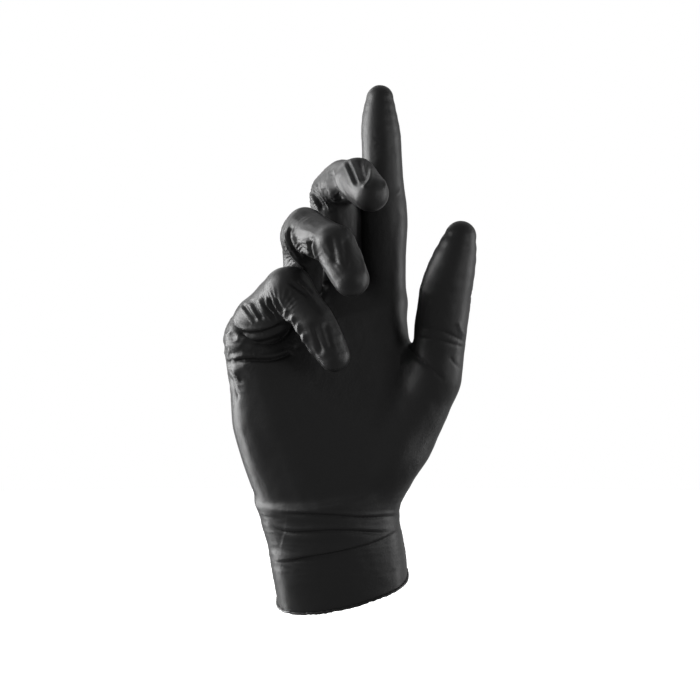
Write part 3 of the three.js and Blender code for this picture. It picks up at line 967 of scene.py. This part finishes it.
def thumb_cuts(centres, face_digits):
    """The same for the thumb, whose knuckle piece takes in some of the palm's film."""
    first, second = HAND["thumb"]["bones"]
    x, z = centres[:, 0], centres[:, 2]
    on_thumb = face_digits == "thumb"
    tip_cut = first["start"] + first["along"] * first["length"] * THUMB_CUT_SHARE
    past_web = ((centres - WEB_END) @ unit(WEB_WAY) > WEB_MARGIN) | (on_thumb & (z > WEB_TOP))
    in_palm = (face_digits == "palm") & (x > KNUCKLE_CORNER[0]) & (z < KNUCKLE_CORNER[1])
    past = half_space(KNUCKLE_START, KNUCKLE_WAY)(centres) > 0
    tip = piece_of("thumb_endjoint", ("thumb_proximal", "thumb_tip"),
                   unit(first["along"] + second["along"]), ("thumb_endjoint_film", "thumb_tip"))
    knuckle = piece_of("thumb_knuckle", ("thumb_base", "thumb_proximal"),
                       unit(KNUCKLE_WAY), ("thumb_knuckle_film", "thumb_proximal"))
    return [
        (tip, on_thumb & (half_space(tip_cut, first["along"])(centres) > 0)),
        (knuckle, (on_thumb | in_palm) & past & past_web),
    ]


def body_cuts(centres):
    """The web and the ball of the thumb, the cuff and the palm, which share what the digits leave."""
    up = centres @ FOREARM
    high = centres[:, 2] > WEB_START[2]
    span, bodies = (WEB_START, WEB_END), ("palm", "thumb_base")
    web = piece_of("thumb_web", bodies, unit(WEB_WAY), ("thumb_web_film",), span)
    ball = piece_of("thumb_ball", bodies, unit(BALL_WAY), ("thumb_base",), span)
    cuff = piece_of("cuff", ("cuff", "palm"), FOREARM, ("cuff", "wrist_film"),
                    [FOREARM * height for height in WRIST_HEIGHTS])
    palm = piece_of("palm", ("palm",), None, ("palm", "back_of_hand"))
    return [
        (web, high & ((centres - WEB_START) @ unit(WEB_WAY) > 0)),
        (ball, ~high & ((centres - WEB_START) @ unit(BALL_WAY) > 0) & (up > WRIST_HEIGHTS[1])),
        (cuff, up < WRIST_HEIGHTS[1]),
        (palm, np.ones(len(centres), bool)),
    ]


def cut_skin(skin, digits):
    """A piece number for every face, and the list of pieces. The first piece that may have a face gets it."""
    centres = skin.points[skin.faces].mean(1)
    face_digits = digits[skin.faces[:, 0]]
    cuts = [cut for name in CUT_SHARES for cut in finger_cuts(name, centres, face_digits)]
    cuts += thumb_cuts(centres, face_digits) + body_cuts(centres)
    owner = np.full(len(skin.faces), -1)
    for number, (_, chosen) in enumerate(cuts):
        owner[chosen & (owner < 0)] = number
    return owner, [piece for piece, _ in cuts]


def points_of(skin, owner, number):
    """Whether each of the skin's points is on a piece."""
    found = np.zeros(len(skin.points), bool)
    found[skin.faces[owner == number].ravel()] = True
    return found


SHORTEST_BLEND, FREE_BLEND = 2, 8  # the shortest blend, and the shortest that ends at no other piece


def blend_span(skin, owner, pieces, number):
    """Two points along the joint's direction, which mark off the stretch of a piece between its two bodies.
    """
    piece = pieces[number]
    way = piece["way"]
    if piece["span"]:
        a, b = piece["span"]
        return a, a + way * ((b - a) @ way)
    mine = points_of(skin, owner, number)
    before, after = [], []
    for other in range(len(pieces)):
        if other == number:
            continue
        shared = skin.points[mine & points_of(skin, owner, other)] @ way
        if not len(shared):
            continue
        child = pieces[other]["bodies"][0] == piece["bodies"][1]
        (after if child else before).append(shared.min() if child else shared.max())
    low = max(before)
    ends = set(piece["bodies"])
    joint = next(j for j in JOINTS.values() if {j["parent"], j["child"]} == ends)
    pivot = np.array(joint["pos_m"]) / MM @ way
    high = min(after) if after else max(2 * pivot - low, low + FREE_BLEND)
    if high < low + SHORTEST_BLEND:
        middle = (low + high) / 2
        low, high = middle - SHORTEST_BLEND / 2, middle + SHORTEST_BLEND / 2
    middle = skin.points[mine].mean(0)
    base = middle - way * (middle @ way)
    return base + way * low, base + way * high


# ---- Materials


class Nodes:
    """A short way to write the nodes of a material or of the world."""

    def __init__(self, owner, last="Principled BSDF"):
        owner.use_nodes = True
        self.tree = owner.node_tree
        self.shader = self.tree.nodes[last]

    def put(self, kind, inputs=(), **settings):
        node = self.tree.nodes.new(kind)
        for key, value in settings.items():
            setattr(node, key, value)
        for key, value in dict(inputs).items():
            self.give(node, key, value)
        return node

    def give(self, node, key, value):
        if isinstance(value, bpy.types.NodeSocket):
            self.tree.links.new(value, node.inputs[key])
        else:
            node.inputs[key].default_value = value

    def noise(self, scale, detail=3.0, vector=None, **settings):
        node = self.put("ShaderNodeTexNoise", {"Scale": scale, "Detail": detail}, **settings)
        self.tree.links.new(vector or self.rest, node.inputs["Vector"])
        return node.outputs["Fac"]

    def span(self, value, low, high):
        node = self.put("ShaderNodeMapRange", {"Value": value, "From Min": 0.3, "From Max": 0.7,
                                               "To Min": low, "To Max": high})
        return node.outputs["Result"]

    def bump(self, height, distance, before=None):
        node = self.put("ShaderNodeBump", {"Height": height, "Distance": distance})
        if before:
            self.tree.links.new(before, node.inputs["Normal"])
        return node.outputs["Normal"]

    @property
    def rest(self):
        return self.put("ShaderNodeAttribute", attribute_name="rest").outputs["Vector"]


def nitrile(name, dark=0.008, light=0.013, rough=(0.44, 0.52), grain=1.0):
    """Black nitrile film: a soft satin sheen, a fine orange peel, and slightly duller patches."""
    material = bpy.data.materials.new(name)
    n = Nodes(material)
    patches = n.noise(28, 4)
    tone = n.put("ShaderNodeMix", {"Factor": patches, "A": (dark, dark, dark * 1.04, 1),
                                   "B": (light, light, light * 1.03, 1)}, data_type="RGBA")
    n.give(n.shader, "Base Color", tone.outputs["Result"])
    n.give(n.shader, "Roughness", n.span(n.noise(160, 5), *rough))
    n.give(n.shader, "IOR", 1.5)
    peel = n.bump(n.noise(900, 3), 0.00006 * grain)
    fine = n.bump(n.noise(3200, 2), 0.000025 * grain, peel)
    n.give(n.shader, "Normal", fine)
    return material


# ---- Meshes


def make_object(name, points, faces, normals, material):
    mesh = bpy.data.meshes.new(name)
    mesh.vertices.add(len(points))
    places = (points * MM).astype(np.float32).ravel()
    mesh.vertices.foreach_set("co", places)
    mesh.loops.add(faces.size)
    mesh.loops.foreach_set("vertex_index", faces.astype(np.int32).ravel())
    mesh.polygons.add(len(faces))
    mesh.polygons.foreach_set("loop_start", np.arange(0, faces.size, faces.shape[1], dtype=np.int32))
    mesh.update(calc_edges=True)
    mesh.shade_smooth()
    if normals is not None:
        mesh.normals_split_custom_set_from_vertices(normals.tolist())
    rest = mesh.attributes.new("rest", "FLOAT_VECTOR", "POINT")
    rest.data.foreach_set("vector", places)
    mesh.materials.append(material)
    obj = bpy.data.objects.new(name, mesh)
    bpy.context.scene.collection.objects.link(obj)
    return obj


def film_piece(skin, normals, faces, name, material):
    """A thin shell: the outside, the inside, and the cut edge between them."""
    used, local = np.unique(faces, return_inverse=True)
    faces = local.reshape(faces.shape)
    points, outward = skin.points[used], normals[used]
    count = len(points)
    edges = border(faces)
    sides = np.stack([edges[:, 1], edges[:, 0], edges[:, 0] + count, edges[:, 1] + count], 1)
    every = np.concatenate([faces, faces[:, ::-1] + count, sides])
    both = np.concatenate([points, points - outward * FILM])
    return make_object(name, both, every, np.concatenate([outward, -outward]), material)


def make_skin():
    field, whole, palm = raise_hand()
    points, faces = trim_rim(*surface_net(field, whole))
    skin = Skin(points, faces)
    settle(skin, field, whole)
    palm_distance, _ = field.sample(palm, skin.points)
    digits = fold(skin, palm_distance)
    owner, pieces = cut_skin(skin, digits)
    return skin, owner, pieces


def build_skin():
    skin, owner, pieces = make_skin()
    normals = skin.normals()
    film = nitrile("nitrile_film")
    folded = nitrile("nitrile_folds", rough=(0.45, 0.53))
    for number, piece in enumerate(pieces):
        bends = len(piece["bodies"]) == 2
        obj = film_piece(skin, normals, skin.faces[owner == number], piece["name"], folded if bends else film)
        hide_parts(*piece["nodes"])
        if bends:
            start, end = blend_span(skin, owner, pieces, number)
            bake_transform(obj)
        else:
            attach(obj, piece["bodies"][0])
    return skin


def rim_line(skin, turns):
    """The skin's lower edge as evenly spaced points, in order round the wrist."""
    rim = skin.points[np.unique(border(skin.faces))]
    angle = np.arctan2(rim @ BACK, rim @ ACROSS)
    order = np.argsort(angle)
    angles = np.linspace(-math.pi, math.pi, turns, endpoint=False)
    line = [np.interp(angles, angle[order], rim[order, k], period=2 * math.pi) for k in range(3)]
    return sum(np.roll(np.stack(line, 1), shift, 0) for shift in (-1, 0, 1)) / 3


def build_bead(skin):
    """The rim rolled up on itself: a thin, slightly uneven roll with a seam along its inside."""
    turns, sides = ((720, 20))
    centre = rim_line(skin, turns)
    along = np.roll(centre, -1, 0) - np.roll(centre, 1, 0)
    outward = np.cross(along, FOREARM)
    outward /= np.linalg.norm(outward, axis=1)[:, None]
    centre = centre + outward * 0.15
    thickness = BEAD_RADIUS * (1 + 0.07 * wave_noise(centre, 9, 31) + 0.03 * wave_noise(centre, 3, 32))
    points = []
    for k in range(sides):
        round_it = 2 * math.pi * k / sides
        seam = 1 - 0.28 * np.exp(-(((round_it - 2.6) / 0.35) ** 2))
        way = outward * math.cos(round_it) + FOREARM * math.sin(round_it)
        points.append(centre + way * (thickness * seam)[:, None])
    points = np.stack(points, 1).reshape(-1, 3)
    i, k = (a.ravel() for a in np.meshgrid(np.arange(turns), np.arange(sides), indexing="ij"))
    j, m = (i + 1) % turns, (k + 1) % sides
    faces = np.stack([i * sides + k, j * sides + k, j * sides + m, i * sides + m], 1)
    obj = make_object("cuff_bead_roll", points, faces, None, nitrile("nitrile_bead", rough=(0.33, 0.45)))
    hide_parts("cuff_bead")
    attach(obj, "cuff")


# ---- Floor, light and camera

# In metres.
FLOOR_HEIGHT = -0.052
FLOOR_RADIUS = 1.6
FLOOR_SIDES = 96


def floor_mesh():
    angles = [2 * math.pi * k / FLOOR_SIDES for k in range(FLOOR_SIDES)]
    points = [(FLOOR_RADIUS * math.cos(a), FLOOR_RADIUS * math.sin(a), FLOOR_HEIGHT) for a in angles]
    mesh = bpy.data.meshes.new("floor")
    mesh.from_pydata(points, [], [range(FLOOR_SIDES)])
    return mesh


def plain_floor():
    """A round pale floor that neither lights the glove nor shows in its sheen."""
    material = bpy.data.materials.new("pale_floor")
    n = Nodes(material)
    place = n.put("ShaderNodeNewGeometry").outputs["Position"]
    grain = n.span(n.noise(30, 3, vector=place), 0.9, 0.94)
    colour = n.put("ShaderNodeCombineColor", {"Red": grain, "Green": grain, "Blue": grain})
    n.give(n.shader, "Base Color", colour.outputs["Color"])
    n.give(n.shader, "Roughness", 0.9)
    n.give(n.shader, "Emission Color", (1, 1, 1, 1))
    n.give(n.shader, "Emission Strength", 0.97)
    mesh = floor_mesh()
    mesh.materials.append(material)
    obj = bpy.data.objects.new("floor", mesh)
    bpy.context.scene.collection.objects.link(obj)
    obj.visible_diffuse = obj.visible_glossy = False


LIGHTS_AIM = (0, -0.02, 0.12)
# Each softbox: name, place, width and height, and power.
SOFTBOXES = (
    ("key_left", (-0.72, 0.0, 0.34), (0.35, 0.5), 6.5),
    ("rim_left", (-0.75, 0.3, 0.06), (0.2, 0.7), 8.0),
    ("rim_right", (0.8, 0.1, 0.12), (0.25, 0.6), 2.6),
    ("top_behind", (-0.45, 0.6, 0.62), (0.4, 0.3), 1.2),
    ("fill_right", (0.7, -0.6, 0.1), (0.4, 0.4), 1.0),
)


def softbox(name, place, size, power):
    light = bpy.data.lights.new(name, "AREA")
    light.shape = "RECTANGLE"
    light.size, light.size_y = size
    light.energy = power
    obj = bpy.data.objects.new(name, light)
    obj.location = place
    obj.rotation_euler = (Vector(LIGHTS_AIM) - Vector(place)).to_track_quat("-Z", "Y").to_euler()
    bpy.context.scene.collection.objects.link(obj)


def studio():
    """A white backdrop, light that is dim in front of the glove, and softboxes, the strongest at its left."""
    world = bpy.data.worlds.new("studio")
    bpy.context.scene.world = world
    n = Nodes(world, "Background")
    place = n.put("ShaderNodeTexCoord").outputs["Generated"]
    depth = n.put("ShaderNodeSeparateXYZ", {0: place}).outputs["Y"]
    ramp = n.put("ShaderNodeMapRange", {"Value": depth, "From Min": -0.1, "From Max": 0.9,
                                        "To Min": 0.23, "To Max": 0.55}, interpolation_type="SMOOTHSTEP")
    seen = n.put("ShaderNodeLightPath").outputs["Is Camera Ray"]
    strength = n.put("ShaderNodeMix", {"Factor": seen, "A": ramp.outputs["Result"], "B": 1.0})
    n.give(n.shader, "Strength", strength.outputs["Result"])
    n.give(n.shader, "Color", (1, 1, 1, 1))
    for box in SOFTBOXES:
        softbox(*box)
    view = bpy.context.scene.view_settings
    view.view_transform = "Standard"
    view.look = "None"


def photo_camera():
    """Straight in front of the hand, level with its middle."""
    camera = bpy.data.cameras.new("camera")
    obj = bpy.data.objects.new("camera", camera)
    bpy.context.scene.collection.objects.link(obj)
    obj.location = (EYE[0] * MM, -(FACE_DISTANCE + FACE_PLANE) * MM, EYE[1] * MM)
    obj.rotation_euler = (math.radians(90), 0, 0)
    camera.sensor_width = 36
    camera.lens = camera.sensor_width * FACE_DISTANCE / PICTURE_WIDTH
    camera.clip_start, camera.clip_end = 0.05, 20
    bpy.context.scene.camera = obj


build_bead(build_skin())
plain_floor()
studio()
photo_camera()
